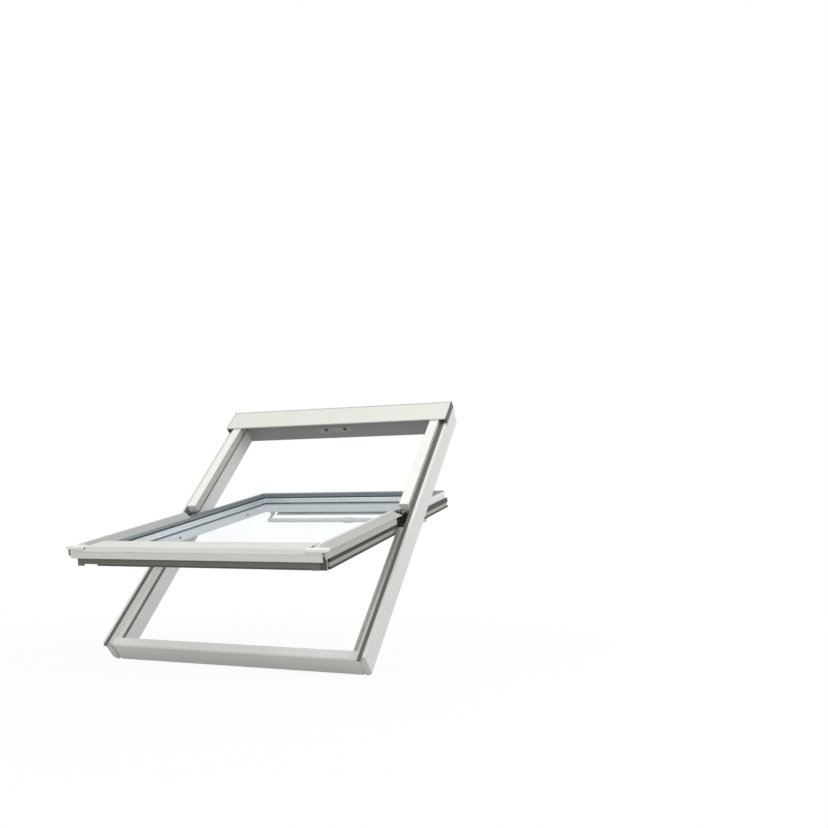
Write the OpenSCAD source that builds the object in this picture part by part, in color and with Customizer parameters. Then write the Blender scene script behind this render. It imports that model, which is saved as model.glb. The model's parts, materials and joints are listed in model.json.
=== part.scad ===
// Centre-pivot roof window with its frame, the sash opened for airing.
// Millimetres, +Z up. +X runs to the right seen from outside, +Y into the house.
// The origin is the middle of the bottom rail's flat lower face.
// Frame pieces are drawn in x, s (up the slope) and z (outwards from the room-side face).
// Sash pieces are drawn in x, v (up the sash) and m (outwards), counted from the pivot axis.

/* [Frame] */
// Outside width of the frame
frame_w = 780; // [660:10:1140]
// Length of the frame along the slope
frame_h = 978; // [780:1:1400]
// Slope of the roof, in degrees
roof_pitch = 45; // [15:1:75]
// Width of a side jamb
jamb_w = 44; // [43:0.5:56]
// Width of the bottom rail along the slope
bottom_rail_w = 26; // [22:0.5:34]
// Height of the bottom rail
bottom_rail_z = 60; // [54:0.5:64]
// Height of the bottom rail's bare lower face
sill_face = 50; // [40:0.5:52]
// Radius of the bottom rail's outer edge
sill_round = 6; // [3:0.25:9]
// Bevel at the bottom rail's ends
rail_bevel = 6; // [2:0.5:12]
// Width of the top rail along the slope
top_rail_w = 47; // [36:0.5:60]
// Height of the sealing land above the room-side face
land_z = 52; // [48:0.5:54]
// Width of the raised lip along a jamb's outer edge
lip_w = 18.5; // [16:0.5:19]
// Height of the raised lip above the land
lip_rise = 18; // [12:0.5:22]
// Width of the groove for the room lining
lining_w = 12; // [8:0.5:14]
// Depth of the groove for the room lining
lining_d = 10; // [6:0.5:14]
// Distance of the lining groove from the opening
lining_set = 5; // [3:0.5:7]
// Chamfer on the jambs' outer room-side edge
jamb_chamfer = 9; // [3:0.5:14]

/* [Fixing holes] */
// Radius of the pilot holes for the fixing brackets
pilot_r = 1.75; // [1:0.05:3]
// Depth of the pilot holes
pilot_depth = 15; // [10:0.5:25]
// Distance between the two holes of a bracket
pilot_pitch = 60; // [40:1:90]
// Height of the pilot holes above the room-side face
pilot_z = 30; // [22:0.5:40]
// Distance of each pair from the frame's end
pilot_from_end = 150; // [110:5:240]

/* [Edge profiles, strips and seals] */
// Sheet thickness of the edge profile
edge_t = 1.5; // [1:0.1:2.5]
// Depth of the edge profile's side leg
edge_leg = 12; // [8:0.5:14]
// Width of the dark edge strip
strip_w = 10; // [7:0.25:12]
// Thickness of the edge strip
strip_t = 2.5; // [1.5:0.1:3.5]
// How far the edge strips run past the bottom rail
strip_over = 12; // [0:0.5:24]
// Width of the seal on the land
land_seal_w = 6; // [4:0.25:7]
// Height of the seal on the land
land_seal_h = 4; // [2:0.25:5]

/* [Frame covers] */
// Height of the covers' outer face above the land
cover_rise = 34; // [33:0.5:40]
// Sheet thickness of the covers
cover_t = 1.5; // [1:0.1:2]
// Gap between the covers and the lip
cover_gap = 3.5; // [2:0.25:5]
// Width of the top casing along the slope
casing_w = 87; // [70:0.5:120]
// Height of the top casing above the covers
casing_rise = 6; // [5:0.25:12]
// Depth of the casing's front lip
casing_lip = 4.5; // [3:0.25:4.75]
// Depth of the casing's rear flange
casing_back = 46; // [20:1:70]
// Radius of the casing's rear fold
casing_round = 5; // [3:0.25:10]
// Thickness of the casing's end caps
cap_t = 2; // [1:0.1:4]
// Depth of the casing's end caps
cap_d = 33; // [24:0.5:33]

/* [Pivot] */
// Depth of the pivot axis below the covers' outer face
pivot_drop = 5; // [4:0.25:5]
// How far the sash stands open, in degrees
open_angle = 34.5; // [0:0.5:155]
// Radius of the pivot pins
pin_r = 3.5; // [2.5:0.1:4]
// Running clearance of the pins
pin_play = 0.05; // [0.02:0.01:0.1]
// Wall of the sash's eye round the pin
eye_wall = 3.5; // [2.5:0.25:4]
// Free length of the covers on each side of the axis
hinge_gap = 30; // [29:0.5:40]
// Length of the bracket's foot on each side of the axis
bracket_half = 28; // [20:0.5:28]
// Thickness of the bracket's foot
bracket_foot = 3; // [2:0.25:5]
// Thickness of the bracket's upright
upright_t = 6; // [4:0.25:6.5]
// Thickness of the hinge arm's plate
arm_t = 2.5; // [1.5:0.1:3]
// Length of the hinge arm's plate on each side of the axis
arm_half = 45; // [30:0.5:60]
// Depth of the hinge arm's plate on the stile
arm_d = 18; // [12:0.5:18]

/* [Sash] */
// Gap between sash and jambs
sash_gap = 10; // [8:0.25:12]
// Gap between the sash's upper end and the top rail
top_gap = 4; // [3.5:0.25:8]
// Gap between the sash's lower end and the bottom rail
bottom_gap = 11; // [10:0.5:16]
// Depth of the sash from its covers to the room side
sash_d = 66; // [64:0.5:67]
// Width of a stile
stile_w = 38; // [34:0.5:52]
// Width of a stile's wall beside the glass
wall_w = 11; // [10:0.25:14]
// Width of the sash's top rail
top_w = 60; // [56:0.5:75]
// Width of the top rail's wall beside the glass
top_wall = 21; // [15:0.5:24]
// Width of the sash's bottom rail
bottom_w = 60; // [50:0.5:75]

/* [Glazing] */
// Depth of the glass below the covers
glass_recess = 16; // [15:0.5:17]
// Thickness of a pane
pane_t = 4; // [3:0.25:4.5]
// Gap between the panes
pane_gap = 16; // [12:0.5:16]
// Thickness of the gasket under the glass
gasket_t = 2; // [1.5:0.25:3]
// Gap between the glass edge and the sash
glass_play = 3; // [2:0.25:4]
// Width of the metal spacer between the panes
spacer_w = 12; // [8:0.5:14]
// Width of the sealant round the spacer
sealant_w = 8; // [4:0.5:9]
// Thickness of the glazing bead above the glass
bead_t = 6; // [4:0.25:7]
// Width of the glazing bead on its outer face
bead_top = 8; // [5:0.25:10]
// How far the glazing bead slopes in towards the glass
bead_slope = 10; // [4:0.25:12]

/* [Sash covers] */
// How far the bottom cover runs past the frame's lower edge
bottom_over = 35; // [24:0.5:60]
// How far the bottom cover laps over the sash's lower end
bottom_lap = 8; // [6:0.25:10]
// Depth of the bottom cover's front face
flange_d = 30; // [24:0.5:31]
// Height of the front face's leaning upper band
front_band = 12; // [8:0.5:14]
// How far that band leans back
band_back = 5; // [2:0.25:8]
// Height of the groove below the band
groove_h = 1.5; // [0.8:0.1:3]
// Rise of the side covers' ridge above the bottom cover
ridge_rise = 6; // [3:0.25:6.5]
// Width of the ridge's flat top
ridge_w = 8; // [5:0.5:18]
// Drop of the side covers' outer slope
ridge_drop = 11; // [6:0.5:12]
// Free length below the pivot axis, up to the side covers
cover_start = 40; // [39:0.5:60]
// Gap between the shut side skirts and the bottom rail
skirt_clear = 2; // [1:0.25:6]
// How far the side covers stand past their skirt
nose = 3; // [1:0.25:6]
// Distance of the skirt's end from the pivot axis
flange_end = 75; // [50:1:120]
// Gap between the front face and the side skirts
corner_slit = 8; // [3:0.25:12]
// Length of the corner caps along the sash
corner_l = 22; // [14:0.5:40]
// Rise of the corner caps above the covers
corner_rise = 0.5; // [0.2:0.1:2]
// Depth of the corner caps' turned-down edges
corner_lip = 7; // [4:0.25:10]
// Thickness of the sash's upper trims
trim_t = 2; // [1:0.1:2.5]

/* [Sash seals] */
// Thickness of the bottom seal
bottom_seal_t = 2; // [1:0.1:2.5]
// Height of the bottom seal
bottom_seal_h = 29; // [16:0.5:30]
// Depth of the drip seal below the front face
drip_d = 16; // [8:0.5:20]
// Thickness of the drip seal
drip_t = 2.5; // [1.5:0.1:4]
// Distance of the drip seal behind the front face
drip_set = 8; // [4:0.5:14]
// Width of the lugs at the drip seal's ends
lug_w = 20; // [10:0.5:30]
// Depth of those lugs below the seal
lug_d = 5; // [3:0.5:8]
// Gap between the side seals and the jambs
side_play = 2; // [1:0.25:3]
// Width of the side seals
side_seal_w = 30; // [8:0.5:31]

/* [Control bar, flap and latch] */
// Turn of the control bar from shut to pulled, in degrees
bar_pull = 25; // [0:1:35]
// Distance of the bar from its axis
bar_reach = 41; // [36:0.5:50]
// Radius of the bar
bar_r = 7; // [5:0.25:8]
// Radius of the bar's pins
bar_pin_r = 3; // [2:0.1:3.2]
// Width of the bar's arms
bar_arm_w = 6; // [4:0.25:6.5]
// Width of a bracket lug
lug_t = 7; // [5:0.25:8]
// Length of the sleeve on the bar
grip_l = 30; // [16:1:60]
// Place of the sleeve to the right of the middle
grip_x = 15; // [0:1:40]
// Turn of the ventilation flap from shut to open, in degrees
flap_open = 15; // [0:1:25]
// Width of the ventilation flap
flap_w = 34; // [30:0.5:36]
// Thickness of the ventilation flap
flap_t = 4; // [2:0.25:4.25]
// Radius of the flap's rounded hinge edge
flap_r = 4.5; // [3.5:0.1:4.75]
// Radius of the flap's pins
flap_pin_r = 2.2; // [1.5:0.1:2.5]
// Height of the air slots in the top rail
slot_h = 10; // [5:0.5:12]
// Distance of the air slots from the middle
slot_in = 95; // [85:1:150]
// Travel of the latch bolts
latch_travel = 12; // [10:0.5:14]
// Radius of the large latch bolt
bolt_r_large = 4; // [3:0.1:4.5]
// Radius of the small latch bolt
bolt_r_small = 3.2; // [2:0.1:4]
// Place of the large bolt to the left of the middle
bolt_left = 48; // [30:1:55]
// Place of the small bolt to the right of the middle
bolt_right = 20; // [10:1:40]
// Height of the latch above the room-side face
latch_z = 36; // [35:0.25:36]
// Thickness of the striker plate
striker_t = 1.5; // [1:0.1:2]
// Height of the striker plate
striker_h = 20; // [16:0.5:30]
// Radius of the accessory plugs in the stiles
plug_r = 4; // [2.5:0.25:7]
// Distance of the lower accessory plugs from the pivot
plug_low = 130; // [60:5:300]
// Distance of the upper accessory plugs from the pivot
plug_high = 260; // [60:5:320]

/* [Hidden] */
$fn = 48;
fuse = 0.01;
over = 1;
part_gap = 0.5;
seat_gap = 0.1;

cover_colour = "#EBECE4";
skirt_colour = "#B4B3AB";
profile_colour = "#DEDFDA";
frame_colour = "#D2D3CE";
sash_colour = "#C6CCD0";
seal_colour = "#50514C";
bead_colour = "#5C666C";
black_colour = "#1B1B1A";
trim_colour = "#6B7378";
glass_colour = [0.86, 0.94, 0.97, 0.35];
spacer_colour = "#616B73";
steel_colour = "#8C8F90";
white_colour = "#F4F5F3";
filter_colour = "#5A5E60";

// Frame, in x, s and z
half_w = frame_w / 2;
jamb_in = half_w - jamb_w;
lip_in = half_w - lip_w;
lip_z = land_z + lip_rise;
strip_out = lip_in + strip_w;
edge_z = lip_z + edge_t;
edge_low = lip_z - edge_leg;
edge_groove = 1;
rail_half = lip_in - part_gap;
sill_mid = sill_face / 2;
top_in = frame_h - top_rail_w;
top_rail_z = lip_z + 2;
seal_clear = bracket_half + 6;

cover_z = land_z + cover_rise;
cover_under = cover_z - cover_t;
cover_out = lip_in - cover_gap;
cover_web = jamb_in + land_seal_w + 2;
cover_edge = land_z + land_seal_h * 2;
land_seal_in = jamb_in - side_play + part_gap;
cover_end = frame_h - 3;
casing_z = cover_z + casing_rise;
casing_under = casing_z - cover_t;
casing_top = frame_h + cover_t;
casing_low = casing_top - casing_w;
casing_web = frame_h - top_rail_w / 2;
casing_web_half = jamb_in - 16;

// Pivot, in s and z
pivot_s = frame_h / 2;
pivot_z = cover_z - pivot_drop;
land_m = land_z - pivot_z;

// Sash, in x, v and m
top_m = pivot_drop;
under_m = top_m - cover_t;
glass_m = top_m - glass_recess;
bead_m = glass_m + bead_t;
inner_m = glass_m - pane_t - pane_gap;
bed_m = inner_m - pane_t;
ledge_m = bed_m - gasket_t;
room_m = top_m - sash_d;
flange_m = top_m - flange_d;
sash_half = jamb_in - sash_gap;
cover_in = sash_half + arm_t + part_gap;
wood_in = sash_half - stile_w;
wall_in = sash_half - wall_w;
glass_half = wall_in - glass_play;
sash_top = top_in - pivot_s - top_gap;
rail_low = sash_top - top_w;
wall_low = sash_top - top_wall;
glass_top = wall_low - part_gap * 4;
sash_low = bottom_rail_w + bottom_gap - pivot_s;
rail_high = sash_low + bottom_w;
glass_low = sash_low + part_gap * 4;
cover_low = sash_low + bottom_lap;
front_v = -pivot_s - bottom_over;
bead_out = wall_in - over;
sight_half = bead_out - bead_top;
sight_top = glass_top - bead_top - over * 2;
flange_half = cover_out;
skirt_in = flange_half - cover_t;
skirt_m = bottom_rail_z + skirt_clear - pivot_z;
nose_half = flange_half + nose;
corner_v = front_v + corner_l;
corner_m = top_m + corner_rise;
bottom_half = sight_half - over;
front_half = flange_half - corner_slit;
leg_half = sash_half - over;
leg_v = sash_low - cover_t;
leg_m = room_m + 10;
ridge_m = top_m + ridge_rise;
ridge_in = sash_half - cover_t - part_gap;
ridge_out = ridge_in + ridge_w;
nose_m = ridge_m - ridge_drop;
foot_w = cover_t * 1.5;
band_m = top_m - front_band;
band_v = front_v + band_back;
groove_d = 1;
drip_v = front_v + drip_set;
drip_half = front_half - 14;
drip_m = flange_m - drip_d;
trim_half = sash_half - 2;
trim_m = bead_m + trim_t;
seal_low = room_m + over;

// Hinges, in x from the middle and round the pivot axis
eye_r = pin_r + eye_wall;
eye_out = sash_half + 13;
disc_in = eye_out + 0.2;
disc_out = disc_in + 1.6;
disc_r = eye_r - part_gap;
upright_in = disc_out + 0.2;
upright_out = upright_in + upright_t;
head_r = eye_r + 2;
pin_head_out = upright_out + 3;
pin_head_r = pin_r + 2;
arm_m = bead_m;

// Latch, air slots, bar and flap, in x, v and m
latch_m = latch_z - pivot_z;
lock_h = 15;
lock_d = 28;
lock_end = 29;
lock_left = bolt_left + lock_end;
lock_right = bolt_right + lock_end;
lock_low = sash_top - lock_d;
bolt_low = lock_low + over;
bolt_tip = sash_top - over;
bolt_play = 0.3;
hole_play = 2.5;
pocket_d = latch_travel + 4;
striker_end = 26;
striker_left = bolt_left + striker_end;
striker_right = bolt_right + striker_end;
base_t = 2;
base_in = wood_in - 29;
base_out = wood_in - 2;
slot_out = base_in - 6;
slot_d = 26;
slot_low = sash_top - slot_d;
bar_axis_v = sash_top - 25;
bar_axis_m = room_m - 8;
bar_sag = 2.5;
bar_boss_r = bar_pin_r + 2.3;
bar_lug_in = base_out - lug_t;
bar_arm_out = bar_lug_in - over;
bar_half = bar_arm_out;
grip_wall = 2.5;
flap_axis_v = sash_top - 6;
flap_axis_m = room_m - flap_r - over;
flap_half = base_in - over;
flap_lug_r = flap_pin_r + 2.8;
plug_t = 1.5;
plug_m = (room_m + ledge_m) / 2;

// Places

module on_slope() {
    rotate([roof_pitch, 0, 0])
        translate([0, 0, -sill_mid])
            children();
}

module on_pivot() {
    on_slope()
        translate([0, pivot_s, pivot_z])
            children();
}

module on_sash() {
    on_pivot()
        rotate([-open_angle, 0, 0])
            children();
}

module on_bar() {
    on_sash()
        translate([0, bar_axis_v, bar_axis_m])
            rotate([bar_pull, 0, 0])
                children();
}

module on_flap() {
    on_sash()
        translate([0, flap_axis_v, flap_axis_m])
            rotate([flap_open, 0, 0])
                children();
}

// Right-hand pieces are drawn, and left-hand ones are their mirror image.
module sided(side) {
    mirror([side < 0 ? 1 : 0, 0, 0])
        children();
}

// Shapes that repeat

// A section in (x, z) drawn out up the slope.
module along_slope(from, to) {
    translate([0, to, 0])
        rotate([90, 0, 0])
            linear_extrude(to - from)
                children();
}

// A section in (s, z) drawn out across the window.
module across(from, to) {
    translate([from, 0, 0])
        rotate([90, 0, 90])
            linear_extrude(to - from)
                children();
}

module rod(r, from, to) {
    translate([from, 0, 0])
        rotate([0, 90, 0])
            cylinder(r = r, h = to - from);
}

module rod_up(r, from, to) {
    translate([0, to, 0])
        rotate([90, 0, 0])
            cylinder(r = r, h = to - from);
}

module rect(low, high) {
    translate(low)
        square(high - low);
}

module box(low, high) {
    translate(low)
        cube(high - low);
}

// A closed frame of rectangular section between an outer and an inner outline.
module ring(outer, inner, low, high) {
    difference() {
        box([-outer[0], outer[1], low], [outer[0], outer[2], high]);
        box([-inner[0], inner[1], low - over], [inner[0], inner[2], high + over]);
    }
}

// A plate that stands on a straight foot and ends in a round head on the axis.
module headed_plate(foot_half, foot_m, neck_half, r) {
    union() {
        polygon([[-foot_half, foot_m], [foot_half, foot_m], [neck_half, 0], [-neck_half, 0]]);
        circle(r);
    }
}

// Frame

module jamb_section() {
    polygon([
        [jamb_in, 0],
        [jamb_in, land_z],
        [lip_in, land_z],
        [lip_in, lip_z],
        [half_w - edge_t, lip_z],
        [half_w - edge_t, edge_low],
        [half_w, edge_low],
        [half_w, jamb_chamfer],
        [half_w - jamb_chamfer, 0]
    ]);
}

// One groove runs round the room side of all four frame members.
module lining_groove() {
    inner = [jamb_in + lining_set, bottom_rail_w - lining_set, top_in + lining_set];
    outer = inner + [lining_w, -lining_w, lining_w];
    ring(outer, inner, -over, lining_d);
}

module jamb(side) {
    color(frame_colour)
        on_slope()
            sided(side)
                difference() {
                    along_slope(0, frame_h)
                        jamb_section();
                    box([jamb_in - over, -over, -over], [lip_in, bottom_rail_w, lip_z + over]);
                    lining_groove();
                    for (s = [pilot_from_end, frame_h - pilot_from_end])
                        for (step = [-pilot_pitch / 2, pilot_pitch / 2])
                            translate([0, s + step, pilot_z])
                                rod(pilot_r, half_w - pilot_depth, half_w + over);
                }
}

module frame_left_jamb() {
    jamb(-1);
}

module frame_right_jamb() {
    jamb(1);
}

// The two holes that the latch bolts enter when the window is shut.
module bolt_holes(from, to) {
    translate([-bolt_left, 0, latch_z])
        rod_up(bolt_r_large + hole_play, from, to);
    translate([bolt_right, 0, latch_z])
        rod_up(bolt_r_small + hole_play, from, to);
}

module frame_top_rail() {
    color(frame_colour)
        on_slope()
            difference() {
                box([-jamb_in, top_in, 0], [jamb_in, frame_h, top_rail_z]);
                lining_groove();
                bolt_holes(top_in - over, top_in + pocket_d);
            }
}

// The bottom rail's outer edge is rounded, set in by the sill profile's thickness.
module rail_outline(inset) {
    r = sill_round - inset;
    edge = sill_round;
    high = bottom_rail_z - sill_round;
    union() {
        rect([inset, sill_face], [bottom_rail_w, high]);
        rect([edge, high - fuse], [bottom_rail_w, bottom_rail_z - inset]);
        translate([edge, high])
            circle(r);
    }
}

// The rail's ends are bevelled.
module bevelled_ends() {
    intersection() {
        children();
        translate([0, 0, -over])
            linear_extrude(bottom_rail_z + over * 2)
                polygon([
                    [rail_bevel - rail_half, 0],
                    [rail_half - rail_bevel, 0],
                    [rail_half, rail_bevel],
                    [rail_half, bottom_rail_w],
                    [-rail_half, bottom_rail_w],
                    [-rail_half, rail_bevel]
                ]);
    }
}

module frame_bottom_rail() {
    color(frame_colour)
        on_slope()
            difference() {
                bevelled_ends()
                    across(-rail_half, rail_half)
                        union() {
                            rect([0, 0], [bottom_rail_w, sill_face + fuse]);
                            rail_outline(edge_t + seat_gap);
                        }
                lining_groove();
            }
}

module sill_profile() {
    color(profile_colour)
        on_slope()
            bevelled_ends()
                across(-rail_half, rail_half)
                    difference() {
                        rail_outline(0);
                        rail_outline(edge_t);
                        rect([edge_t, sill_face - over], [bottom_rail_w + over, bottom_rail_z - sill_round]);
                        rect([sill_round, sill_face], [bottom_rail_w + over, bottom_rail_z - edge_t]);
                        rect([-over, 0], [bottom_rail_w + over, sill_face + fuse]);
                    }
}

module edge_strip(side) {
    color(seal_colour)
        on_slope()
            sided(side)
                along_slope(-strip_over, frame_h)
                    rect([lip_in, lip_z], [strip_out, lip_z + strip_t]);
}

module left_edge_strip() {
    edge_strip(-1);
}

module right_edge_strip() {
    edge_strip(1);
}

module edge_profile(side) {
    color(profile_colour)
        on_slope()
            sided(side)
                along_slope(0, frame_h)
                    union() {
                        rect([strip_out, lip_z], [half_w, edge_z]);
                        rect([half_w - edge_t, edge_low + edge_groove], [half_w, edge_z]);
                    }
}

module left_edge_profile() {
    edge_profile(-1);
}

module right_edge_profile() {
    edge_profile(1);
}

// The seal on the land stops on each side of the hinge bracket.
module jamb_seal(side) {
    color(seal_colour)
        on_slope()
            sided(side)
                for (run = [[bottom_rail_w, pivot_s - seal_clear], [pivot_s + seal_clear, top_in]])
                    along_slope(run[0], run[1])
                        rect([land_seal_in, land_z], [jamb_in + land_seal_w, land_z + land_seal_h]);
}

module left_jamb_seal() {
    jamb_seal(-1);
}

module right_jamb_seal() {
    jamb_seal(1);
}

module top_rail_seal() {
    color(seal_colour)
        on_slope()
            box([-casing_web_half, top_in + over, top_rail_z],
                [casing_web_half, top_in + over + land_seal_w, top_rail_z + land_seal_h * 0.75]);
}

// The cover's deep inner face stops short of the top rail, and its lower end is closed.
module upper_cover(side) {
    color(cover_colour)
        on_slope()
            sided(side)
                union() {
                    along_slope(pivot_s + hinge_gap, cover_end)
                        union() {
                            rect([cover_in, cover_under], [cover_out, cover_z]);
                            rect([cover_web, land_z], [cover_web + cover_t, cover_z]);
                            rect([cover_out - cover_t, land_z], [cover_out, cover_z]);
                        }
                    along_slope(pivot_s + hinge_gap, top_in - part_gap)
                        rect([cover_in, cover_edge], [cover_in + cover_t, cover_z]);
                    along_slope(pivot_s + hinge_gap, pivot_s + hinge_gap + cover_t)
                        rect([cover_in, cover_edge], [cover_out, cover_z]);
                }
}

module left_upper_cover() {
    upper_cover(-1);
}

module right_upper_cover() {
    upper_cover(1);
}

// The casing's outline with a round rear fold, set in by a thickness.
module casing_outline(inset) {
    back = casing_top - casing_round;
    high = casing_z - casing_round;
    low = casing_z - casing_back - inset;
    union() {
        rect([casing_low + inset, low], [back, casing_z - inset]);
        rect([back - fuse, low], [casing_top - inset, high]);
        translate([back, high])
            circle(casing_round - inset);
    }
}

module top_casing() {
    color(cover_colour)
        on_slope()
            union() {
                across(-half_w, half_w)
                    difference() {
                        casing_outline(0);
                        casing_outline(cover_t);
                        rect([casing_low - over, casing_z - casing_back - over],
                             [casing_low + cover_t + fuse, casing_z - casing_lip]);
                    }
                box([-casing_web_half, casing_web, top_rail_z],
                    [casing_web_half, casing_web + cover_t, casing_under + fuse]);
            }
}

module casing_cap(side) {
    color(seal_colour)
        on_slope()
            sided(side)
                box([half_w, casing_low, casing_z - cap_d], [half_w + cap_t, casing_top, casing_z]);
}

module casing_left_cap() {
    casing_cap(-1);
}

module casing_right_cap() {
    casing_cap(1);
}

module striker_plate() {
    color(steel_colour)
        on_slope()
            difference() {
                box([-striker_left, top_in - striker_t, latch_z - striker_h / 2],
                    [striker_right, top_in, latch_z + striker_h / 2]);
                bolt_holes(top_in - striker_t - over, top_in + over);
            }
}

// The bracket stands on the land and holds the pivot pin.
module hinge_bracket(side) {
    color(black_colour)
        on_pivot()
            sided(side)
                difference() {
                    union() {
                        box([jamb_in + over, -bracket_half, land_m],
                            [rail_half, bracket_half, land_m + bracket_foot]);
                        across(upright_in, upright_out)
                            headed_plate(bracket_half * 0.75, land_m, head_r * 0.9, head_r);
                    }
                    rod(pin_r, upright_in - over, upright_out + over);
                }
}

module left_hinge_bracket() {
    hinge_bracket(-1);
}

module right_hinge_bracket() {
    hinge_bracket(1);
}

module hinge_pin(side) {
    color(steel_colour)
        on_pivot()
            sided(side)
                union() {
                    rod(pin_r, sash_half + part_gap, upright_out + fuse);
                    rod(pin_head_r, upright_out, pin_head_out);
                }
}

module left_hinge_pin() {
    hinge_pin(-1);
}

module right_hinge_pin() {
    hinge_pin(1);
}

module friction_disc(side) {
    color(steel_colour)
        on_pivot()
            sided(side)
                difference() {
                    rod(disc_r, disc_in, disc_out);
                    rod(pin_r + pin_play, disc_in - over, disc_out + over);
                }
}

module left_friction_disc() {
    friction_disc(-1);
}

module right_friction_disc() {
    friction_disc(1);
}

// Sash

module stile(side) {
    color(sash_colour)
        on_sash()
            sided(side)
                along_slope(sash_low, sash_top)
                    polygon([
                        [wood_in, room_m],
                        [sash_half, room_m],
                        [sash_half, bead_m],
                        [wall_in, bead_m],
                        [wall_in, ledge_m],
                        [wood_in, ledge_m]
                    ]);
}

module sash_left_stile() {
    stile(-1);
}

module sash_right_stile() {
    stile(1);
}

module lock_block() {
    box([-lock_left, lock_low, latch_m - lock_h / 2], [lock_right, sash_top, latch_m + lock_h / 2]);
}

// The slots lead air past the flap to the gap above the sash.
module air_slots(from, to, low) {
    for (side = [-1, 1])
        sided(side)
            box([slot_in, from, low], [slot_out, to, room_m + slot_h]);
}

module sash_top_rail() {
    color(sash_colour)
        on_sash()
            difference() {
                union() {
                    box([-wood_in, rail_low, room_m], [wood_in, sash_top, ledge_m]);
                    box([-wall_in, wall_low, ledge_m], [wall_in, sash_top, bead_m]);
                    box([-wood_in, wall_low, ledge_m - over], [wood_in, sash_top, ledge_m + over]);
                }
                box([-lock_left, lock_low, latch_m - lock_h / 2],
                    [lock_right, sash_top + over, latch_m + lock_h / 2]);
                air_slots(slot_low, sash_top + over, room_m - over);
            }
}

module sash_bottom_rail() {
    color(sash_colour)
        on_sash()
            box([-wood_in, sash_low, room_m], [wood_in, rail_high, ledge_m]);
}

module outer_pane() {
    color(glass_colour)
        on_sash()
            box([-glass_half, glass_low, glass_m - pane_t], [glass_half, glass_top, glass_m]);
}

module inner_pane() {
    color(glass_colour)
        on_sash()
            box([-glass_half, glass_low, bed_m], [glass_half, glass_top, inner_m]);
}

// The glass outline, drawn in on every side.
function pane_edge(inset) = [glass_half - inset, glass_low + inset, glass_top - inset];

module glass_spacer() {
    color(spacer_colour)
        on_sash()
            ring(pane_edge(sealant_w), pane_edge(sealant_w + spacer_w), inner_m, glass_m - pane_t);
}

module glass_sealant() {
    color(seal_colour)
        on_sash()
            ring(pane_edge(0), pane_edge(sealant_w), inner_m, glass_m - pane_t);
}

module inner_gasket() {
    color(seal_colour)
        on_sash()
            ring(pane_edge(0), [wood_in + over, rail_high - over, rail_low + over], ledge_m, bed_m);
}

// The dark bead slopes in to the glass on all four sides.
module glazing_bead() {
    low = glass_low + part_gap;
    high = glass_top - part_gap;
    color(bead_colour)
        on_sash()
            union() {
                for (side = [-1, 1])
                    sided(side)
                        along_slope(low, high)
                            polygon([
                                [sight_half - bead_slope, glass_m],
                                [bead_out, glass_m],
                                [bead_out, bead_m],
                                [sight_half, bead_m]
                            ]);
                across(-bead_out, bead_out)
                    polygon([
                        [low, glass_m],
                        [cover_low + bead_slope, glass_m],
                        [cover_low, bead_m],
                        [low, bead_m]
                    ]);
                across(-bead_out, bead_out)
                    polygon([
                        [high, glass_m],
                        [sight_top - bead_slope, glass_m],
                        [sight_top, bead_m],
                        [high, bead_m]
                    ]);
            }
}

// The bottom cover hangs past the frame and is held by a leg on the bottom rail.
module bottom_cover() {
    color(cover_colour)
        on_sash()
            union() {
                across(-bottom_half, bottom_half)
                    union() {
                        rect([band_v, under_m], [cover_low, top_m]);
                        rect([cover_low - cover_t, bead_m], [cover_low, top_m]);
                        rect([leg_v, leg_m], [sash_low, under_m + fuse]);
                        polygon([
                            [band_v, top_m],
                            [front_v, band_m],
                            [front_v + foot_w, band_m],
                            [band_v + foot_w, under_m]
                        ]);
                    }
                across(-front_half, front_half)
                    union() {
                        rect([front_v, flange_m], [front_v + cover_t, band_m - groove_h]);
                        rect([front_v + groove_d, band_m - groove_h * 2],
                             [front_v + groove_d + cover_t, band_m + groove_h]);
                    }
                for (side = [-1, 1])
                    sided(side)
                        box([bottom_half - fuse, front_v, band_m],
                            [front_half, front_v + foot_w, corner_m - corner_lip]);
            }
}

// Height of the side covers' outer slope at a place across.
function slope_m(x) = ridge_m - (x - ridge_out) * ridge_drop / (nose_half - ridge_out);

// The side covers rise from the bead to a flat ridge and fall again to the outside.
module ridge_end() {
    inside = skirt_in - part_gap;
    polygon([
        [sight_half, bead_m],
        [ridge_in, ridge_m],
        [ridge_out, ridge_m],
        [nose_half, nose_m],
        [nose_half, nose_m - cover_t],
        [inside, slope_m(inside) - cover_t],
        [inside, bead_m]
    ]);
}

module ridge_sheet() {
    lean = (ridge_in - sight_half) / (ridge_m - bead_m);
    difference() {
        ridge_end();
        polygon([
            [sight_half + foot_w, bead_m],
            [ridge_in + foot_w - cover_t * lean, ridge_m - cover_t],
            [ridge_out, ridge_m - cover_t],
            [nose_half, nose_m - cover_t],
            [nose_half, bead_m - over],
            [sight_half + foot_w, bead_m - over]
        ]);
    }
}

// The lower side covers lap over the jambs and stand on the stiles.
module lower_cover(side) {
    low = corner_v + part_gap;
    color(cover_colour)
        on_sash()
            sided(side)
                union() {
                    along_slope(low, -cover_start)
                        ridge_sheet();
                    along_slope(low, low + cover_t)
                        ridge_end();
                    along_slope(-cover_start - cover_t, -cover_start)
                        ridge_end();
                    along_slope(cover_low, -cover_start)
                        rect([ridge_in, bead_m], [ridge_in + cover_t, ridge_m - fuse]);
                }
}

module left_lower_cover() {
    lower_cover(-1);
}

module right_lower_cover() {
    lower_cover(1);
}

// The side skirts hang from the lower covers outside the jambs.
module side_skirt(side) {
    color(skirt_colour)
        on_sash()
            sided(side)
                along_slope(front_v + cover_t, -flange_end)
                    polygon([
                        [skirt_in, skirt_m],
                        [flange_half, skirt_m],
                        [flange_half, slope_m(flange_half) - cover_t],
                        [skirt_in, slope_m(skirt_in) - cover_t]
                    ]);
}

module left_side_skirt() {
    side_skirt(-1);
}

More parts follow.
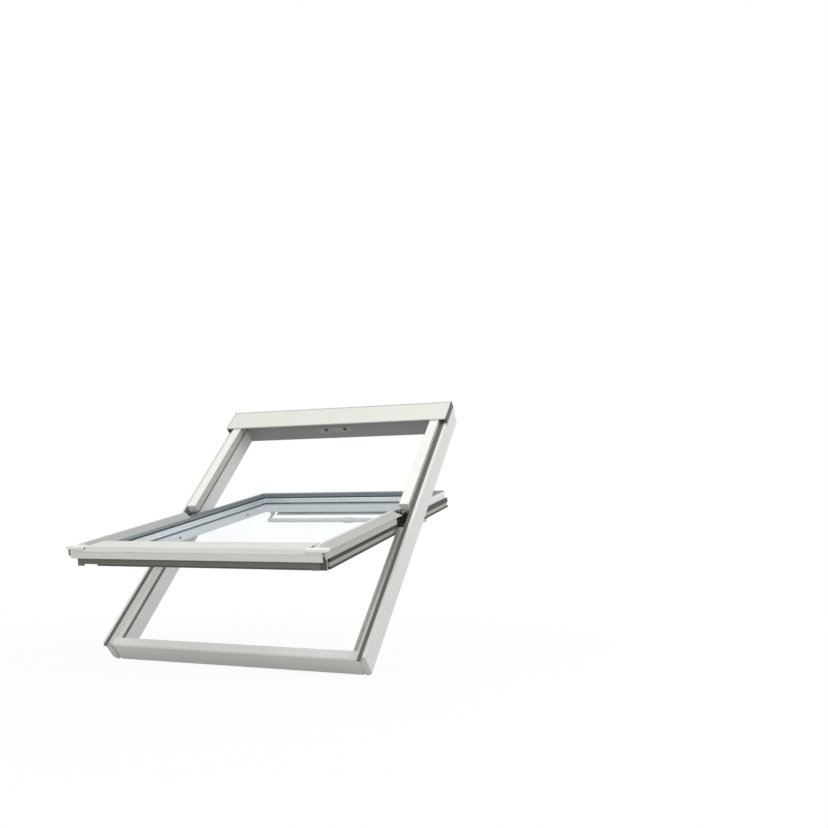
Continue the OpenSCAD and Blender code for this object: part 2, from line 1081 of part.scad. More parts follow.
module right_side_skirt() {
    side_skirt(1);
}

module corner_cap(side) {
    color(white_colour)
        on_sash()
            sided(side)
                union() {
                    box([sight_half - part_gap, front_v - cover_t, under_m], [nose_half, corner_v, corner_m]);
                    box([sight_half - part_gap, front_v - cover_t, corner_m - corner_lip],
                        [nose_half, front_v, corner_m]);
                    box([nose_half - cover_t, front_v - cover_t, corner_m - corner_lip],
                        [nose_half, corner_v, corner_m]);
                }
}

module left_corner_cap() {
    corner_cap(-1);
}

module right_corner_cap() {
    corner_cap(1);
}

// The upper trims stay below the frame's upper covers.
module upper_trim(side) {
    color(trim_colour)
        on_sash()
            sided(side)
                box([sight_half, part_gap - cover_start, bead_m], [trim_half, sight_top - part_gap, trim_m]);
}

module left_upper_trim() {
    upper_trim(-1);
}

module right_upper_trim() {
    upper_trim(1);
}

module sash_top_cover() {
    color(trim_colour)
        on_sash()
            box([-trim_half, sight_top, bead_m], [trim_half, sash_top, trim_m]);
}

module bottom_seal() {
    out_v = leg_v - bottom_seal_t;
    color(seal_colour)
        on_sash()
            box([-leg_half, out_v, seal_low], [leg_half, leg_v, seal_low + bottom_seal_h]);
}

// The drip seal hangs behind the front face, with a lug at each end.
module drip_seal() {
    color(seal_colour)
        on_sash()
            union() {
                box([-drip_half, drip_v, drip_m], [drip_half, drip_v + drip_t, under_m]);
                for (side = [-1, 1])
                    sided(side)
                        box([drip_half - lug_w, drip_v, drip_m - lug_d],
                            [drip_half, drip_v + drip_t, drip_m + fuse]);
            }
}

module side_seal(side) {
    low = room_m + 4;
    color(seal_colour)
        on_sash()
            sided(side)
                box([sash_half, sash_low + over, low],
                    [jamb_in - side_play, sash_top - over, low + side_seal_w]);
}

module left_side_seal() {
    side_seal(-1);
}

module right_side_seal() {
    side_seal(1);
}

// The arm lies on the stile's side and its eye turns on the frame's pin.
module hinge_arm(side) {
    color(black_colour)
        on_sash()
            sided(side)
                difference() {
                    union() {
                        box([sash_half, -arm_half, arm_m - arm_d], [sash_half + arm_t, arm_half, arm_m]);
                        across(sash_half, sash_half + arm_t)
                            headed_plate(eye_r * 2, arm_m - over, eye_r, eye_r);
                        rod(eye_r, sash_half, eye_out);
                    }
                    rod(pin_r + pin_play, sash_half - over, eye_out + over);
                }
}

module left_hinge_arm() {
    hinge_arm(-1);
}

module right_hinge_arm() {
    hinge_arm(1);
}

// The lock case fills its pocket and guides the two latch bolts.
module lock_case() {
    color(steel_colour)
        on_sash()
            difference() {
                lock_block();
                translate([-bolt_left, 0, latch_m])
                    rod_up(bolt_r_large + bolt_play, bolt_low - part_gap, sash_top + over);
                translate([bolt_right, 0, latch_m])
                    rod_up(bolt_r_small + bolt_play, bolt_low - part_gap, sash_top + over);
            }
}

// A lug that hangs from the bracket's base down to an axis.
module hanging_lug(axis_v, axis_m, r, bore, from, to) {
    difference() {
        union() {
            translate([0, axis_v, axis_m])
                rod(r, from, to);
            box([from, axis_v - r, axis_m], [to, axis_v + r, room_m - fuse]);
        }
        translate([0, axis_v, axis_m])
            rod(bore, from - over, to + over);
    }
}

module bar_bracket(side) {
    color(white_colour)
        on_sash()
            sided(side)
                union() {
                    box([base_in, bar_axis_v - 11, room_m - base_t], [base_out, sash_top, room_m]);
                    hanging_lug(bar_axis_v, bar_axis_m, bar_boss_r + 0.7, bar_pin_r + pin_play,
                                bar_lug_in, base_out);
                    hanging_lug(flap_axis_v, flap_axis_m, flap_lug_r, flap_pin_r + pin_play,
                                base_in, base_in + lug_t);
                }
}

module left_bar_bracket() {
    bar_bracket(-1);
}

module right_bar_bracket() {
    bar_bracket(1);
}

module air_filters() {
    color(filter_colour)
        on_sash()
            air_slots(slot_low, sash_top - 4, room_m + 2);
}

module accessory_plugs() {
    color(seal_colour)
        on_sash()
            for (side = [-1, 1])
                sided(side)
                    for (v = [-plug_low, plug_high])
                        translate([0, v, plug_m])
                            rod(plug_r, wood_in - plug_t, wood_in);
}

// Moving pieces on the sash

module control_bar() {
    color(white_colour)
        on_bar()
            union() {
                translate([0, -bar_reach, -bar_sag])
                    rod(bar_r, -bar_half, bar_half);
                for (side = [-1, 1])
                    sided(side)
                        union() {
                            across(bar_half - bar_arm_w, bar_half)
                                union() {
                                    circle(bar_boss_r);
                                    rect([-bar_reach, -bar_boss_r], [0, bar_boss_r * 0.5]);
                                }
                            rod(bar_pin_r, bar_half - over, base_out - over);
                        }
            }
}

module bar_grip() {
    color(white_colour)
        on_bar()
            translate([0, -bar_reach, -bar_sag])
                difference() {
                    rod(bar_r + grip_wall, grip_x - grip_l / 2, grip_x + grip_l / 2);
                    rod(bar_r + pin_play, grip_x - grip_l, grip_x + grip_l);
                }
}

module ventilation_flap() {
    color(sash_colour)
        on_flap()
            union() {
                across(-flap_half, flap_half)
                    union() {
                        circle(flap_r);
                        rect([-flap_w, flap_r - flap_t - 0.3], [0, flap_r - 0.3]);
                    }
                for (side = [-1, 1])
                    sided(side)
                        rod(flap_pin_r, flap_half - over, base_in + lug_t - part_gap);
            }
}

module latch_bolts() {
    color(steel_colour)
        on_sash()
            union() {
                translate([-bolt_left, 0, latch_m])
                    rod_up(bolt_r_large, bolt_low, bolt_tip);
                translate([bolt_right, 0, latch_m])
                    rod_up(bolt_r_small, bolt_low, bolt_tip);
            }
}

frame_left_jamb();
frame_right_jamb();
frame_top_rail();
frame_bottom_rail();
sill_profile();
left_edge_strip();
right_edge_strip();
left_edge_profile();
right_edge_profile();
left_jamb_seal();
right_jamb_seal();
top_rail_seal();
left_upper_cover();
right_upper_cover();
top_casing();
casing_left_cap();
casing_right_cap();
striker_plate();
left_hinge_bracket();
right_hinge_bracket();
left_hinge_pin();
right_hinge_pin();
left_friction_disc();
right_friction_disc();
sash_left_stile();
sash_right_stile();
sash_top_rail();
sash_bottom_rail();
outer_pane();
inner_pane();
glass_spacer();
glass_sealant();
inner_gasket();
glazing_bead();
bottom_cover();
left_lower_cover();
right_lower_cover();
left_side_skirt();
right_side_skirt();
left_corner_cap();
right_corner_cap();
left_upper_trim();
right_upper_trim();
sash_top_cover();
bottom_seal();
drip_seal();
left_side_seal();
right_side_seal();
left_hinge_arm();
right_hinge_arm();
lock_case();
left_bar_bracket();
right_bar_bracket();
air_filters();
accessory_plugs();
control_bar();
bar_grip();
ventilation_flap();
latch_bolts();
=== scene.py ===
import json
import math

import bmesh
import bpy
from mathutils import Matrix, Vector


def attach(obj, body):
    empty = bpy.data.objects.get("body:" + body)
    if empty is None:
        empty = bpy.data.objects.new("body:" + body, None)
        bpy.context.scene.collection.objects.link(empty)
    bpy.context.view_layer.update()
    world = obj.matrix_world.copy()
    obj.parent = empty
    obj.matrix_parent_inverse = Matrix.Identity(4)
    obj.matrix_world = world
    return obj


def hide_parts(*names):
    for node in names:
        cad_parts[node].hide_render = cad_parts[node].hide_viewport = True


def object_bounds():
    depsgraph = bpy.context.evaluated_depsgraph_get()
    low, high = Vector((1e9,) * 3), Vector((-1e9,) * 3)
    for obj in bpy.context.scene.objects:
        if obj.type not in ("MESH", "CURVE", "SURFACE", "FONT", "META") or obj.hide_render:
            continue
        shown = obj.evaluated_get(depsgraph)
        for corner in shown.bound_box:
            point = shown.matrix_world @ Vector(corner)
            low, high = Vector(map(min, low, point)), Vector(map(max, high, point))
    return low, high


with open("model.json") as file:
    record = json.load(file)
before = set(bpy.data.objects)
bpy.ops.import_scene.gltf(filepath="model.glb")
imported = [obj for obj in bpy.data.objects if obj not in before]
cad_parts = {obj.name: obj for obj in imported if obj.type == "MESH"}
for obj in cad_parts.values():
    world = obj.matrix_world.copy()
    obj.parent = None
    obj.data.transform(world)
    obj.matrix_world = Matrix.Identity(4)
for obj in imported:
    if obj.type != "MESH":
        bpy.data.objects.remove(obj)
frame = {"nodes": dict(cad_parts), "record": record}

# Centre-pivot roof window: rounded edges, finishes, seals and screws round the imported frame.

CAD_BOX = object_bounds()
MM = 0.001
RECORD = frame["record"]
NODE_BODY = {node: body for body, nodes in RECORD["behaviour"]["bodies"].items() for node in nodes}
NODE_SLOT = {part["node"]: part["material_slot"] for part in RECORD["subparts"]}
JOINT = {joint["name"]: joint for joint in RECORD["behaviour"]["joints"]}
MOUNT = {mount["name"]: mount for mount in RECORD["mounts"]}
ACROSS = Vector((1, 0, 0))


# Axes of the leaning frame and of the opened sash

def base_of(up, origin):
    """A matrix whose X runs across, Y up the piece and Z outwards."""
    out = ACROSS.cross(up).normalized()
    turn = Matrix((ACROSS, up.normalized(), out)).transposed().to_4x4()
    return Matrix.Translation(origin) @ turn


SLOPE = base_of(-Vector(MOUNT["sill_face"]["axis"]), Vector((0, 0, 0)))
SASH = base_of(Vector(JOINT["latch_slide"]["axis"]), Vector(JOINT["sash_pivot"]["pos_m"]))
BASES = {"frame": SLOPE, "sash": SASH, "latch": SASH, "bar": SASH, "flap": SASH}
SLOPE_TURN = math.asin(SLOPE[2][1])
SASH_TURN = math.asin(SASH[2][1])
SASH_LEVEL = (SASH.to_3x3().inverted() @ SASH.translation).z


def local_box(node):
    """Lowest and highest corner of a node in the axes of what carries it."""
    back = BASES[NODE_BODY[node]].inverted()
    places = [back @ vertex.co for vertex in frame["nodes"][node].data.vertices]
    low = Vector(tuple(min(place[axis] for place in places) for axis in range(3)))
    high = Vector(tuple(max(place[axis] for place in places) for axis in range(3)))
    return low, high


def srgb(red, green, blue):
    """A colour as the eye reads it, 0 to 255, in the renderer's linear units."""
    def linear(value):
        share = value / 255
        return share / 12.92 if share <= 0.04045 else ((share + 0.055) / 1.055) ** 2.4
    return (linear(red), linear(green), linear(blue), 1.0)


# Shader maths as Python expressions

class Wire:
    """A shader socket that takes part in expressions; each operator adds a Math node."""

    def __init__(self, finish, socket):
        self.finish = finish
        self.socket = socket

    def maths(self, operation, first, second):
        return self.finish.node("ShaderNodeMath", {"operation": operation}, {0: first, 1: second})

    def __add__(self, other):
        return self.maths("ADD", self, other)

    __radd__ = __add__

    def __sub__(self, other):
        return self.maths("SUBTRACT", self, other)

    def __rsub__(self, other):
        return self.maths("SUBTRACT", other, self)

    def __mul__(self, other):
        return self.maths("MULTIPLY", self, other)

    __rmul__ = __mul__

    def __gt__(self, other):
        return self.maths("GREATER_THAN", self, other)

    def __lt__(self, other):
        return self.maths("LESS_THAN", self, other)


class Finish:
    """A node tree with one method that adds any node to it."""

    def __init__(self, tree):
        self.tree = tree

    def node(self, kind, settings=None, sockets=None, out=0):
        made = self.tree.nodes.new(kind)
        for key, value in (settings or {}).items():
            setattr(made, key, value)
        for key, value in (sockets or {}).items():
            if isinstance(value, Wire):
                self.tree.links.new(value.socket, made.inputs[key])
            else:
                made.inputs[key].default_value = value
        return Wire(self, made.outputs[out]) if made.outputs else None

    def object_place(self):
        return self.node("ShaderNodeTexCoord", out="Object")

    def mapped(self, turn=0.0, scale=(1, 1, 1)):
        """Object coordinates turned back to lie along a leaning piece, then stretched."""
        turned = self.node("ShaderNodeMapping", {"vector_type": "TEXTURE"},
                           {"Vector": self.object_place(), "Rotation": (turn, 0, 0)})
        return self.node("ShaderNodeMapping", {}, {"Vector": turned, "Scale": scale})

    def noise(self, place, scale, detail=3.0, rough=0.5):
        return self.node("ShaderNodeTexNoise", {},
                         {"Vector": place, "Scale": scale, "Detail": detail, "Roughness": rough})

    def blend(self, factor, first, second):
        return self.node("ShaderNodeMix", {"data_type": "RGBA"}, {0: factor, 6: first, 7: second}, out=2)

    def bump(self, height, strength, distance):
        return self.node("ShaderNodeBump", {},
                         {"Height": height, "Strength": strength, "Distance": distance}, out="Normal")


def new_finish(name):
    material = bpy.data.materials.new(name)
    material.use_nodes = True
    material.node_tree.nodes.clear()
    return material, Finish(material.node_tree)


def surface(finish, sockets):
    """The principled shader and its output."""
    shader = finish.node("ShaderNodeBsdfPrincipled", {}, sockets)
    finish.node("ShaderNodeOutputMaterial", {}, {"Surface": shader})


def shade(colour, share):
    return tuple(channel * share for channel in colour[:3]) + (1.0,)


# Finishes

def powder_coat(fin, colour, rough):
    """The shader of coated sheet: an orange-peel skin and duller patches over a colour."""
    place = fin.object_place()
    peel = fin.noise(place, 900.0, detail=2.0)
    handled = fin.noise(place, 28.0, detail=5.0, rough=0.6)
    surface(fin, {
        "Base Color": colour,
        "Roughness": rough - 0.07 + 0.14 * handled,
        "Normal": fin.bump(peel, 0.12, 0.0004),
        "Specular IOR Level": 0.45,
    })


def coated_sheet(name, colour, rough):
    """Powder coat on sheet, with a faint drift of tone."""
    material, fin = new_finish(name)
    drift = fin.noise(fin.object_place(), 5.0)
    powder_coat(fin, fin.blend(drift, shade(colour, 0.965), colour), rough)
    return material


def side_shaded_sheet(name, colour, side_shade_colour, rough):
    """Powder coat with painted shade: the sheet's sideways faces take a greyer tone."""
    material, fin = new_finish(name)
    # Painted shade: faces that turn sideways blend into the greyer shade colour.
    facing = fin.node("ShaderNodeNewGeometry", out="True Normal")
    sideways = fin.node("ShaderNodeSeparateXYZ", {}, {"Vector": facing}, out="X")
    turned = fin.node("ShaderNodeMapRange", {"interpolation_type": "SMOOTHSTEP"},
                      {"Value": sideways * sideways, "From Min": 0.04, "From Max": 0.14})
    tone = fin.blend(turned, colour, side_shade_colour)
    drift = fin.noise(fin.object_place(), 5.0)
    powder_coat(fin, fin.blend(0.2 * drift, tone, shade(side_shade_colour, 0.9)), rough)
    return material


def rim_shaded_sheet(name, colour, rim_shade_colour, rough, back, face):
    """Powder coat with painted shade: a greyer band along the rear edge of its outer face."""
    material, fin = new_finish(name)
    leaning = fin.mapped(SLOPE_TURN)
    along = fin.node("ShaderNodeSeparateXYZ", {}, {"Vector": leaning}, out="Y")
    height = fin.node("ShaderNodeSeparateXYZ", {}, {"Vector": leaning}, out="Z")
    # Painted shade along the rear edge, where the sheet folds away from the light.
    tone = fin.blend((along > back) * (height > face), colour, rim_shade_colour)
    drift = fin.noise(fin.object_place(), 5.0)
    powder_coat(fin, fin.blend(0.3 * drift, tone, shade(colour, 0.93)), rough)
    return material


HOLE_REACH = 16 * MM


def coated_timber(name, colour, turn, stretch, reveal_shade=None):
    """Thick white coating over timber: soft long waves that follow the piece, and fine pores.

    A shade colour is painted on the faces that look down the slope, which the casing shades, and painted
    shade from an occlusion test darkens the holes.
    """
    material, fin = new_finish(name)
    lengthwise = fin.mapped(turn, stretch)
    waves = fin.noise(lengthwise, 60.0, detail=4.0)
    pores = fin.noise(fin.object_place(), 700.0, detail=2.0)
    drift = fin.noise(fin.object_place(), 4.0)
    tone = fin.blend(drift, shade(colour, 0.955), colour)
    if reveal_shade:
        # Painted shade on the faces that look down the slope, under the casing.
        facing = fin.node("ShaderNodeNewGeometry", out="True Normal")
        downwards = fin.node("ShaderNodeVectorMath", {"operation": "DOT_PRODUCT"},
                             {0: facing, 1: -SLOPE.col[1].to_3d()}, out="Value")
        tone = fin.blend(downwards > 0.7, tone, reveal_shade)
        # Painted shade in holes and narrow recesses, found by ambient occlusion.
        openness = fin.node("ShaderNodeAmbientOcclusion", {"samples": 8}, {"Distance": HOLE_REACH}, out="AO")
        hole_shade = fin.node("ShaderNodeMapRange", {},
                          {"Value": 1.0 - openness, "From Min": 0.55, "From Max": 0.8})
        tone = fin.blend(hole_shade, tone, shade(reveal_shade, 0.08))
    surface(fin, {
        "Base Color": fin.blend(0.25 * waves, tone, shade(reveal_shade or colour, 0.9)),
        "Roughness": 0.46 + 0.12 * waves,
        "Normal": fin.bump(waves + 0.4 * pores, 0.16, 0.0006),
        "Specular IOR Level": 0.4,
    })
    return material


def drawn_profile(name, colour, rough):
    """Coated extrusion with die lines that run up the slope."""
    material, fin = new_finish(name)
    lines = fin.noise(fin.mapped(SLOPE_TURN, (900, 6, 900)), 1.0, detail=2.0)
    drift = fin.noise(fin.object_place(), 6.0)
    surface(fin, {
        "Base Color": fin.blend(drift, shade(colour, 0.95), colour),
        "Roughness": rough + 0.12 * lines,
        "Normal": fin.bump(lines, 0.1, 0.0003),
    })
    return material


def rubber_skin(fin, colour, dust_colour, share, rough):
    """The shader of matt rubber: a fine grain, and dust over a colour."""
    place = fin.object_place()
    grain = fin.noise(place, 1400.0, detail=2.0)
    dust = fin.noise(place, 35.0, detail=6.0, rough=0.65)
    surface(fin, {
        "Base Color": fin.blend(share * dust, colour, dust_colour),
        "Roughness": rough + 0.25 * dust,
        "Normal": fin.bump(grain, 0.25, 0.0003),
        "Specular IOR Level": 0.3,
    })


def rubber(name, colour):
    """Matt extruded rubber with dust in its pores."""
    material, fin = new_finish(name)
    rubber_skin(fin, colour, shade(colour, 1.5), 0.5, 0.62)
    return material


def banded_rubber(name, lip_colour, strip_colour, turn, low, high):
    """Dark rubber with a paler strip between two heights across a leaning piece."""
    material, fin = new_finish(name)
    height = fin.node("ShaderNodeSeparateXYZ", {}, {"Vector": fin.mapped(turn)}, out="Z")
    tone = fin.blend((height > low) * (height < high), lip_colour, strip_colour)
    rubber_skin(fin, tone, shade(strip_colour, 0.8), 0.3, 0.6)
    return material


def black_coat(name, colour):
    """Textured black coating on pressed steel."""
    material, fin = new_finish(name)
    place = fin.object_place()
    grain = fin.noise(place, 1600.0, detail=2.0)
    rubbed = fin.noise(place, 60.0, detail=4.0)
    surface(fin, {
        "Base Color": fin.blend(rubbed, colour, shade(colour, 1.8)),
        "Roughness": 0.34 + 0.2 * rubbed,
        "Normal": fin.bump(grain, 0.25, 0.0004),
    })
    return material


def plated_steel(name, colour):
    """Zinc-plated steel with a fine brushed run and cloudy patches."""
    material, fin = new_finish(name)
    brushed = fin.noise(fin.mapped(0.0, (40, 1500, 1500)), 1.0, detail=2.0)
    clouds = fin.noise(fin.object_place(), 90.0, detail=4.0)
    surface(fin, {
        "Base Color": fin.blend(clouds, shade(colour, 0.85), colour),
        "Metallic": 1.0,
        "Roughness": 0.26 + 0.16 * brushed,
        "Normal": fin.bump(brushed, 0.08, 0.0002),
    })
    return material


def moulded_plastic(name, colour, rough):
    """Smooth moulded plastic with a faint satin grain."""
    material, fin = new_finish(name)
    place = fin.object_place()
    grain = fin.noise(place, 1800.0, detail=1.0)
    drift = fin.noise(place, 14.0)
    surface(fin, {
        "Base Color": fin.blend(drift, shade(colour, 0.965), colour),
        "Roughness": rough + 0.08 * drift,
        "Normal": fin.bump(grain, 0.06, 0.0002),
    })
    return material


def spacer_bar(name, colour):
    """Roll-formed spacer with a row of small breathing holes, drawn as dark dots of painted shade."""
    material, fin = new_finish(name)
    dots = fin.node("ShaderNodeTexVoronoi", {}, {"Vector": fin.object_place(), "Scale": 260.0},
                    out="Distance")
    holes = dots < 0.22
    brushed = fin.noise(fin.object_place(), 300.0)
    surface(fin, {
        # Painted shade: the holes are dark dots in the colour.
        "Base Color": fin.blend(holes, colour, shade(colour, 0.35)),
        "Metallic": 0.85,
        "Roughness": 0.32 + 0.2 * brushed,
        "Normal": fin.bump(1.0 - holes, 0.3, 0.0003),
    })
    return material


def pane_glass(name, colour, veil):
    """Clear coated pane: mostly see-through, with slight waviness and a cool veil that is partly the glass's
    own tint and partly painted reflection of the white ground.
    """
    material, fin = new_finish(name)
    waves = fin.noise(fin.object_place(), 3.0, detail=1.0)
    surface(fin, {
        "Base Color": colour,
        "Roughness": 0.02 + 0.02 * waves,
        # Painted reflection: the veil's pale diffuse layer stands in for the pane's reflection as well as its
        # tint.
        "Alpha": veil * (0.9 + 0.2 * waves),
        "IOR": 1.5,
        "Normal": fin.bump(waves, 0.02, 0.002),
    })
    return material


def open_foam(name, colour):
    """Open-cell filter foam, with painted shade darkening the cell hollows."""
    material, fin = new_finish(name)
    cells = fin.node("ShaderNodeTexVoronoi", {}, {"Vector": fin.object_place(), "Scale": 700.0},
                     out="Distance")
    # Painted shade: the foam's cells darken towards their hollow middles.
    surface(fin, {
        "Base Color": fin.blend(cells, shade(colour, 0.4), colour),
        "Roughness": 0.85 + 0.1 * cells,
        "Normal": fin.bump(cells, 0.8, 0.001),
    })
    return material


CREAM = srgb(229, 230, 221)
ALONG = (18, 1.2, 18)
CROSSWISE = (1.2, 18, 18)
FINISHES = {
    "cover": coated_sheet("cream_coat", CREAM, 0.42),
    "trim": coated_sheet("grey_coat", srgb(120, 127, 132), 0.45),
    "skirt": coated_sheet("light_grey_coat", srgb(184, 184, 178), 0.45),
    "profile": drawn_profile("light_extrusion", srgb(232, 233, 228), 0.36),
    "seal": rubber("dark_rubber", srgb(112, 112, 105)),
    "bead": rubber("blue_grey_rubber", srgb(116, 127, 132)),
    "hinge_black": black_coat("black_coat", srgb(30, 30, 30)),
    "steel": plated_steel("plated_steel", srgb(176, 178, 179)),
    "glass": pane_glass("pane_glass", srgb(170, 232, 255), 0.025),
    "spacer": spacer_bar("spacer_bar", srgb(222, 227, 229)),
    "white_plastic": moulded_plastic("white_plastic", srgb(243, 244, 241), 0.34),
    "bar_metal": coated_sheet("white_coat", srgb(243, 244, 242), 0.32),
    "filter": open_foam("filter_foam", srgb(98, 102, 104)),
}
FRAME_LONG = coated_timber("frame_coat_long", srgb(233, 234, 230), SLOPE_TURN, ALONG)
FRAME_CROSS = coated_timber("frame_coat_cross", srgb(238, 239, 234), SLOPE_TURN, CROSSWISE)
# Painted shade: the top rail's coat darkens its down-slope faces and its holes.
FRAME_TOP = coated_timber("frame_coat_top", srgb(238, 239, 234), SLOPE_TURN, CROSSWISE, srgb(160, 160, 156))
# Painted light and shade on the covers: sideways faces take a grey painted shade, and the upper covers' coat
# is a lighter copy of the cream, painted light.
UPPER_COVER = side_shaded_sheet("upper_cover_coat", srgb(248, 249, 243), srgb(192, 193, 185), 0.42)
LOWER_COVER = side_shaded_sheet("lower_cover_coat", srgb(229, 230, 222), srgb(176, 178, 174), 0.42)
SASH_LONG = coated_timber("sash_coat_long", srgb(244, 250, 253), SASH_TURN, ALONG)
SASH_CROSS = coated_timber("sash_coat_cross", srgb(244, 250, 253), SASH_TURN, CROSSWISE)
# Painted light: the inner gasket and the glass sealant take a pale rubber that lightens the shaded line at
# the glass edge.
PALE_RUBBER = rubber("pale_rubber", srgb(186, 195, 199))
SHADED_RIM_W = 9 * MM
SHADED_RIM_T = 3 * MM
CASING_END = local_box("top_casing")[1]
CAP_LIP = 22 * MM
CAP_FOOT, CAP_HEAD = (corner.z for corner in local_box("casing_right_cap"))
CASING_CAP = banded_rubber("cap_plastic", srgb(70, 70, 66), srgb(226, 227, 220), SLOPE_TURN,
                           CAP_FOOT - CAP_LIP, CAP_HEAD - CAP_LIP)
OWN_FINISH = {
    "bottom_cover": coated_sheet("warm_coat", srgb(222, 221, 214), 0.42),
    "left_upper_cover": UPPER_COVER,
    "right_upper_cover": UPPER_COVER,
    "left_lower_cover": LOWER_COVER,
    "right_lower_cover": LOWER_COVER,
    "striker_plate": coated_sheet("shaded_sheet", srgb(170, 170, 166), 0.4),
    "inner_gasket": PALE_RUBBER,
    "glass_sealant": PALE_RUBBER,
    # Painted light: the right jamb seal is a lighter copy of the dark seal rubber.
    "right_jamb_seal": rubber("grey_rubber", srgb(178, 178, 171)),
    # Painted shade: the casing's outer face greys along its rear edge.
    "top_casing": rim_shaded_sheet("casing_coat", CREAM, srgb(186, 187, 180), 0.42,
                               CASING_END.y - SHADED_RIM_W, CASING_END.z - SHADED_RIM_T),
    "casing_left_cap": CASING_CAP,
    "casing_right_cap": CASING_CAP,
    "frame_left_jamb": FRAME_LONG,
    "frame_right_jamb": FRAME_LONG,
    "frame_top_rail": FRAME_TOP,
    "frame_bottom_rail": FRAME_CROSS,
    "sash_left_stile": SASH_LONG,
    "sash_right_stile": SASH_LONG,
    "sash_top_rail": SASH_CROSS,
    "sash_bottom_rail": SASH_CROSS,
}


def finish_of(node):
    return OWN_FINISH[node] if node in OWN_FINISH else FINISHES[NODE_SLOT[node]]


# Pieces

def add_piece(mesh_builder, name, body, material):
    """Makes an object at the origin from a finished bmesh and lets it ride on a body."""
    mesh = bpy.data.meshes.new(name)
    mesh_builder.to_mesh(mesh)
    mesh_builder.free()
    mesh.materials.append(material)
    piece = bpy.data.objects.new(name, mesh)
    bpy.context.scene.collection.objects.link(piece)
    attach(piece, body)
    return piece


SMOOTH_LIMIT = math.radians(50)
FLAT_FACE_WEIGHT = 60


def smooth_by_area(piece):
    """Soft edges that leave the broad faces flat in the light."""
    for polygon in piece.data.polygons:
        polygon.use_smooth = True
    piece.data.set_sharp_from_angle(angle=SMOOTH_LIMIT)
    modifier = piece.modifiers.new("flat_faces", "WEIGHTED_NORMAL")
    modifier.keep_sharp = True
    modifier.weight = FLAT_FACE_WEIGHT


FLAT = math.radians(1)
CREASE = math.radians(32)
WELD = 0.002 * MM


def break_edges(bm, radius):
    """Rounds every sharp edge of a bmesh."""
    creases = [edge for edge in bm.edges if len(edge.link_faces) == 2 and edge.calc_face_angle() > CREASE]
    bmesh.ops.bevel(bm, geom=creases, offset=radius, offset_type="OFFSET", segments=2, profile=0.5,
                    affect="EDGES", material=-1, clamp_overlap=True)


def rounded_node(node, radius):
    """A copy of a CAD node with its sharp edges broken, in place of the node."""
    bm = bmesh.new()
    bm.from_mesh(frame["nodes"][node].data)
    bmesh.ops.remove_doubles(bm, verts=bm.verts, dist=WELD)
    bmesh.ops.dissolve_limit(bm, angle_limit=FLAT, verts=bm.verts, edges=bm.edges)
    break_edges(bm, radius)
    piece = add_piece(bm, node + "_finished", NODE_BODY[node], finish_of(node))
    smooth_by_area(piece)
    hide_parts(node)


EDGE_RADIUS = {
    "frame_coat": 1.6 * MM,
    "sash_coat": 1.6 * MM,
    "cover": 0.5 * MM,
    "trim": 0.5 * MM,
    "skirt": 0.5 * MM,
    "profile": 0.5 * MM,
    "seal": 0.5 * MM,
    "bead": 0.8 * MM,
    "hinge_black": 0.6 * MM,
    "steel": 0.4 * MM,
    "glass": 0.6 * MM,
    "spacer": 0.3 * MM,
    "white_plastic": 0.9 * MM,
    "bar_metal": 0.9 * MM,
    "filter": 0.5 * MM,
}


# Seals with their own sections

RIBS = 3
RIB_DEPTH = 0.9 * MM


def extruded(points, base, start, end):
    """A closed section in (x, z) of a base, drawn from start to end along its Y."""
    bm = bmesh.new()
    corners = [bm.verts.new((x, start, z)) for x, z in points]
    section = bm.faces.new(corners)
    grown = bmesh.ops.extrude_face_region(bm, geom=[section])
    moved = [item for item in grown["geom"] if isinstance(item, bmesh.types.BMVert)]
    bmesh.ops.translate(bm, verts=moved, vec=(0, end - start, 0))
    bmesh.ops.recalc_face_normals(bm, faces=bm.faces)
    bmesh.ops.transform(bm, matrix=base, verts=bm.verts)
    return bm


def ribbed_strip(node):
    """The edge strip as pressed rubber, with ribs along its outer face."""
    low, high = local_box(node)
    pitch = (high.x - low.x) / (2 * RIBS - 1)
    points = [(low.x, low.z), (high.x, low.z)]
    for step in range(2 * RIBS - 1):
        top = high.z if step % 2 == 0 else high.z - RIB_DEPTH
        points += [(high.x - step * pitch, top), (high.x - (step + 1) * pitch, top)]
    bm = extruded(points, SLOPE, low.y, high.y)
    piece = add_piece(bm, node + "_ribbed", "frame", FINISHES["seal"])
    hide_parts(node)


UPPER_LIP = 13 * MM
LOWER_LIP = 6 * MM
SEAL_RECESS = 2.5 * MM


def lipped_seal(node):
    """A side seal of the sash: a paler strip set back between two lips."""
    low, high = local_box(node)
    inner, outer = (low.x, high.x) if high.x > 0 else (high.x, low.x)
    back = outer - math.copysign(SEAL_RECESS, outer)
    lower, upper = low.z + LOWER_LIP, high.z - UPPER_LIP
    points = [(inner, low.z), (outer, low.z), (outer, lower), (back, lower),
              (back, upper), (outer, upper), (outer, high.z), (inner, high.z)]
    bm = extruded(points, SASH, low.y, high.y)
    break_edges(bm, EDGE_RADIUS["seal"])
    finish = banded_rubber(node + "_rubber", srgb(56, 56, 53), srgb(186, 186, 179), SASH_TURN,
                           SASH_LEVEL + lower, SASH_LEVEL + upper)
    piece = add_piece(bm, node + "_lipped", "sash", finish)
    smooth_by_area(piece)
    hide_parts(node)


EDGE_GRIP = 2 * MM
EDGE_HANG = 4 * MM
EDGE_THICK = 2.6 * MM
EDGE_PROUD = 0.2 * MM
EDGE_SHORT = 0.5 * MM


